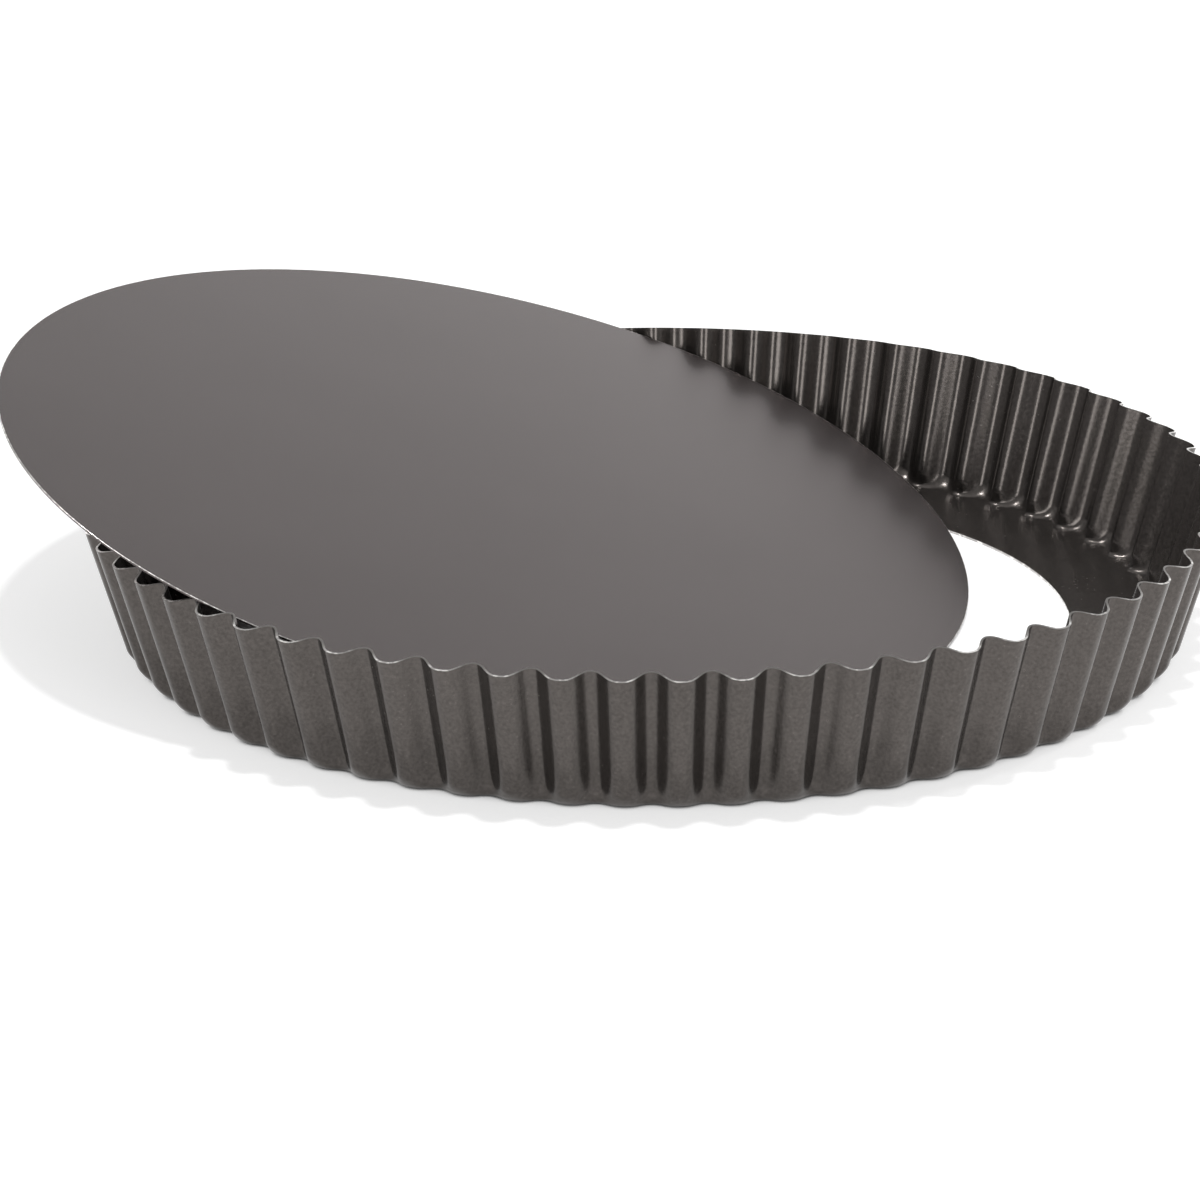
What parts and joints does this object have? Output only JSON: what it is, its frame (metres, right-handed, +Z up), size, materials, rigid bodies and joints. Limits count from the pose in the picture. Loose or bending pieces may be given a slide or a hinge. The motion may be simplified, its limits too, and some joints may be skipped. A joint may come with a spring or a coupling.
{
  "type": "quiche pan",
  "caption": "Round fluted quiche pan: a flaring scalloped ring with a narrow ledge inside its foot, and a loose flat base that lifts out, leaning in the ring.",
  "frame": {"origin": "on the table, under the middle of the box round the ring and the leaning base; the ring's own axis is 11.841 mm from it along +X", "axes": "+Z up along the ring's axis; the base leans up towards -X and its low edge is towards +X; the part is the same on both sides of the XZ plane"},
  "size_m": [0.3034, 0.2796, 0.0623],
  "materials": {
    "ring_coating": "satin dark non-stick coating on pressed steel sheet, bare bright metal on the cut edges",
    "base_coating": "satin dark non-stick coating on flat steel sheet, bare bright metal on the cut edge"
  },
  "bodies": {
    "ring": {"fluted_ring": "ring_coating"},
    "base": {"loose_base": "base_coating"}
  },
  "joints": [
    {"name": "base_lift", "type": "slide", "parent": "ring", "child": "base", "axis": [0, 0, 1], "range_m": [0, 0.1]}
  ]
}
